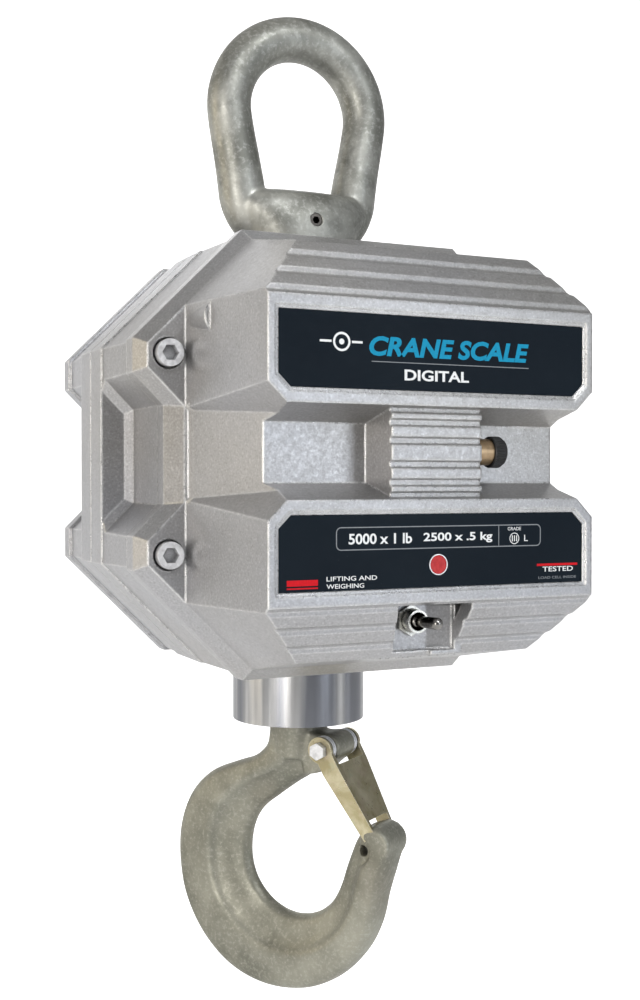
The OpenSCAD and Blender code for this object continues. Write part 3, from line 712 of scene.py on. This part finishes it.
def build_hook():
    """Forged hook as one skin with true bores, and the shank inside the bearing."""
    bm = bmesh.new()
    loft(bm, [hook_ring(row) for row in smooth_line(HOOK_LINE, 7)])
    # round neck under the bearing housing, and the lug that carries the latch
    add_cylinder(bm, hook_point(0, -183, 0), hook_point(0, -159.3, 0), 0.0150, 0.0172)
    add_cylinder(bm, hook_point(*PIVOT, -LUG_HALF), hook_point(*PIVOT, LUG_HALF), LUG_R)
    lug = [(9, -167), (25, -166), (33.8, -178.5), (21, -190), (9, -193)]
    plane_prism(bm, lug, -LUG_HALF, LUG_HALF)
    # knob on the outside of the tip
    add_cylinder(bm, hook_point(58.8, -228.5, -13.2), hook_point(58.8, -228.5, 13.2), 0.0104)
    rough = solid_from(to_mesh(bm, "hook_raw"), [
        ("REMESH", {"mode": "VOXEL", "voxel_size": 0.0013}),
        ("SMOOTH", {"factor": 0.5, "iterations": 6})], "hook_rough")
    cutter = bmesh.new()
    plane_prism(cutter, TIP_LEDGE, -25, -TIP_HALF)
    plane_prism(cutter, TIP_LEDGE, TIP_HALF, 25)
    ledged = carved(rough, to_mesh(cutter, "ledge"), "hook_ledged")
    soft = solid_from(ledged, [
        ("REMESH", {"mode": "VOXEL", "voxel_size": 0.0011}),
        ("SMOOTH", {"factor": 0.5, "iterations": 4})], "hook_soft")
    cutter = bmesh.new()
    add_cylinder(cutter, hook_point(*LOCK_HOLE, -20), hook_point(*LOCK_HOLE, 20), 0.0035, sides=40)
    add_cylinder(cutter, hook_point(*PIVOT, -20), hook_point(*PIVOT, 20), 0.00305, sides=48)
    result = carved(soft, to_mesh(cutter, "bores"), "hook_forging")
    obj = link_mesh("hook_forging", result, "dull", "swivel_hook")
    # the shank inside the bearing, a lathe-turned piece of the same forging
    bm = bmesh.new()
    profile = [(14.2, -130), (14.9, -131), (14.95, -158.8), (16.9, -159.25), (16.9, -161)]
    turns = [2 * math.pi * k / 64 for k in range(64)]
    loft(bm, [[Vector((r * math.cos(u), r * math.sin(u), z + BODY_Z)) * MM for u in turns]
              for r, z in profile])
    shank_mesh = to_mesh(bm, "hook_shank")
    shank = link_mesh("hook_shank", shank_mesh, "turned", "swivel_hook", smooth=False)
    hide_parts("hook")
    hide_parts("hook")


# ---------------------------------------------------------------- connector cap
def build_cap():
    """Knurled dust cap: fine teeth round the rim, a smooth stepped crown."""
    teeth = 36
    tooth_depth = 0.42
    steps = teeth * 4
    bm = bmesh.new()
    centre = Vector((-3.5, -158, BODY_Z + 0.9))
    # x, radius, 1 where the rim is knurled
    rows = [(40.0, 7.05, 0), (40.0, 7.6, 0), (40.5, 8.05, 0), (40.7, 8.15, 1), (45.7, 8.15, 1),
            (45.9, 8.05, 0), (46.2, 7.4, 0), (46.4, 7.0, 0), (47.6, 6.9, 0), (47.9, 6.5, 0),
            (47.95, 5.6, 0), (47.6, 5.2, 0), (47.55, 3.0, 0), (47.5, 0.6, 0)]
    # inner wall, so that the cap is open towards the neck
    rows = [(45.4, 0.6, 0), (45.5, 6.85, 0), (40.0, 6.86, 0)] + rows
    rings = []
    for x, r, knurl in rows:
        ring = []
        for k in range(steps):
            a = 2 * math.pi * k / steps
            cut = tooth_depth * knurl * (1 if k % 4 in (2, 3) else 0)
            ring.append((centre + Vector((x, (r - cut) * math.cos(a), (r - cut) * math.sin(a)))) * MM)
        rings.append(ring)
    loft(bm, rings)
    mesh = to_mesh(bm, "knurled_cap")
    obj = link_mesh("knurled_cap", mesh, "black", "cap", smooth=False)
    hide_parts("connector_cap")


# ---------------------------------------------------------------- label print

def to_label(points, rear=False):
    """(x, z) in millimetres on the label's face."""
    if rear:
        return [Vector((-x, -LABEL_Y + INK_LIFT, z + BODY_Z)) * MM for x, z in points]
    return [Vector((x, LABEL_Y - INK_LIFT, z + BODY_Z)) * MM for x, z in points]


def print_text(name, words, left, base, width, height, material, slant=0.0, weight=0.0, rear=False):
    """Generic words in Blender's own font, as thin raised ink fitted to a box."""
    curve = bpy.data.curves.new(name, "FONT")
    curve.body = words
    curve.size = 1.0
    curve.shear = slant
    curve.offset = weight
    curve.extrude = 0.01
    curve.resolution_u = 4
    temp = bpy.data.objects.new(name + "_raw", curve)
    bpy.context.scene.collection.objects.link(temp)
    graph = bpy.context.evaluated_depsgraph_get()
    graph.update()
    mesh = bpy.data.meshes.new_from_object(temp.evaluated_get(graph))
    bpy.data.objects.remove(temp, do_unlink=True)
    xs = [v.co.x for v in mesh.vertices]
    ys = [v.co.y for v in mesh.vertices]
    x0, x1, y0, y1 = min(xs), max(xs), min(ys), max(ys)
    sx, sy = width / (x1 - x0), height / (y1 - y0)
    for v in mesh.vertices:
        x = left + (v.co.x - x0) * sx
        z = base + (v.co.y - y0) * sy
        lift = INK_LIFT + v.co.z * 2.0
        if rear:
            v.co = Vector((-x, -LABEL_Y + lift, z + BODY_Z)) * MM
        else:
            v.co = Vector((x, LABEL_Y - lift, z + BODY_Z)) * MM
    mesh.update()
    return link_mesh(name, mesh, material, "housing", smooth=False)


def ink_shape(name, loops, material, rear=False):
    """Flat ink from closed loops: the outer one, then an optional inner one of the same count."""
    bm = bmesh.new()
    shift = Vector((0, (1 if rear else -1) * INK_DEPTH * MM, 0))
    if len(loops) == 1:
        pts = to_label(loops[0], rear)
        low = [bm.verts.new(p) for p in pts]
        top = [bm.verts.new(p + shift) for p in pts]
        n = len(pts)
        bm.faces.new(low)
        bm.faces.new(list(reversed(top)))
        for i in range(n):
            j = (i + 1) % n
            bm.faces.new((low[i], top[i], top[j], low[j]))
    else:
        sets = []
        for loop in loops:
            pts = to_label(loop, rear)
            sets.append(([bm.verts.new(p) for p in pts], [bm.verts.new(p + shift) for p in pts]))
        n = len(loops[0])
        (outer_low, outer_top), (inner_low, inner_top) = sets
        for i in range(n):
            j = (i + 1) % n
            bm.faces.new((outer_low[i], outer_low[j], inner_low[j], inner_low[i]))
            bm.faces.new((outer_top[i], inner_top[i], inner_top[j], outer_top[j]))
            bm.faces.new((outer_low[i], outer_top[i], outer_top[j], outer_low[j]))
            bm.faces.new((inner_low[i], inner_low[j], inner_top[j], inner_top[i]))
    mesh = to_mesh(bm, name)
    return link_mesh(name, mesh, material, "housing", smooth=False)


def round_box(x0, z0, x1, z1, r, steps=6):
    """A rectangle with round corners."""
    pts = []
    corners = [(x1 - r, z1 - r, 0), (x0 + r, z1 - r, 90), (x0 + r, z0 + r, 180), (x1 - r, z0 + r, 270)]
    for cx, cz, start in corners:
        for i in range(steps + 1):
            a = math.radians(start + 90 * i / steps)
            pts.append((cx + r * math.cos(a), cz + r * math.sin(a)))
    return pts


def bar(x0, z0, x1, z1):
    return [(x0, z0), (x1, z0), (x1, z1), (x0, z1)]


def ring_loop(cx, cz, r, steps=32):
    turns = [2 * math.pi * i / steps for i in range(steps)]
    return [(cx + r * math.cos(u), cz + r * math.sin(u)) for u in turns]


def build_front_print():
    # upper label: a plain hook-and-bar mark, the title and a line below it
    ink_shape("mark_ring", [ring_loop(-53.5, 52.2, 4.6), ring_loop(-53.5, 52.2, 3.5)], "white")
    ink_shape("mark_bar_left", [bar(-65.0, 51.7, -58.9, 52.8)], "white")
    ink_shape("mark_bar_right", [bar(-48.1, 51.7, -42.4, 52.8)], "white")
    ink_shape("mark_dot", [ring_loop(-53.5, 52.2, 1.4)], "white")
    print_text("title", "CRANE SCALE", -38.8, 46.2, 91.5, 9.6, "cyan", slant=0.2, weight=0.036)
    ink_shape("title_rule", [bar(-37.5, 43.3, 52.6, 43.7)], "grey")
    print_text("subtitle", "DIGITAL", -19.5, 34.9, 36.5, 5.4, "white", weight=0.026)
    # lower label: capacity in a rounded frame, and coloured bars in the corners
    outer, inner = round_box(-56.5, -47.2, 60.3, -36.0, 2.6), round_box(-56.0, -46.7, 59.8, -36.5, 2.1)
    ink_shape("frame_line", [outer, inner], "grey")
    ink_shape("frame_rule", [bar(34.6, -46.9, 35.0, -36.3)], "grey")
    print_text("capacity_left", "5000 x 1 lb", -49.8, -44.4, 34.5, 5.2, "white", weight=0.022)
    print_text("capacity_right", "2500 x .5 kg", -8.8, -44.8, 39.8, 5.4, "white", weight=0.022)
    print_text("grade_word", "GRADE", 40.2, -39.0, 8.0, 1.7, "white")
    ink_shape("grade_ring", [ring_loop(44.2, -43.1, 2.9), ring_loop(44.2, -43.1, 2.5)], "white")
    for i in (-1, 0, 1):
        x = 44.0 + i * 1.3
        ink_shape(f"grade_bar_{i + 2}", [bar(x, -44.6, x + 0.5, -41.6)], "white")
    print_text("grade_letter", "L", 50.2, -44.6, 2.2, 3.2, "white")
    ink_shape("corner_bar", [bar(-82.0, -63.4, -66.0, -60.6)], "red")
    ink_shape("corner_bar_low", [bar(-82.0, -64.9, -66.0, -64.2)], "red")
    print_text("corner_words", "LIFTING AND", -61.5, -61.6, 27.0, 2.2, "white", weight=0.008)
    print_text("corner_words_low", "WEIGHING", -61.5, -65.2, 20.0, 2.2, "white", weight=0.008)
    print_text("side_word", "TESTED", 61.5, -60.6, 19.0, 2.6, "white", weight=0.01)
    ink_shape("side_bar", [bar(58.0, -57.6, 83.2, -56.4)], "red")
    print_text("side_word_low", "LOAD CELL INSIDE", 59.0, -64.3, 23.5, 1.3, "grey")


def build_rear_print():
    print_text("rear_title", "CRANE SCALE", -38.8, 46.2, 91.5, 9.6, "cyan", slant=0.2, weight=0.036,
               rear=True)
    ink_shape("rear_rule", [bar(-37.5, 43.3, 52.6, 43.7)], "grey", rear=True)
    print_text("rear_subtitle", "DIGITAL", -19.5, 34.9, 36.5, 5.4, "white", weight=0.026, rear=True)


make_camera()
make_studio()
make_backdrop()
make_materials()
dress_nodes()
build_eye()
build_hook()
build_cap()
build_front_print()
build_rear_print()
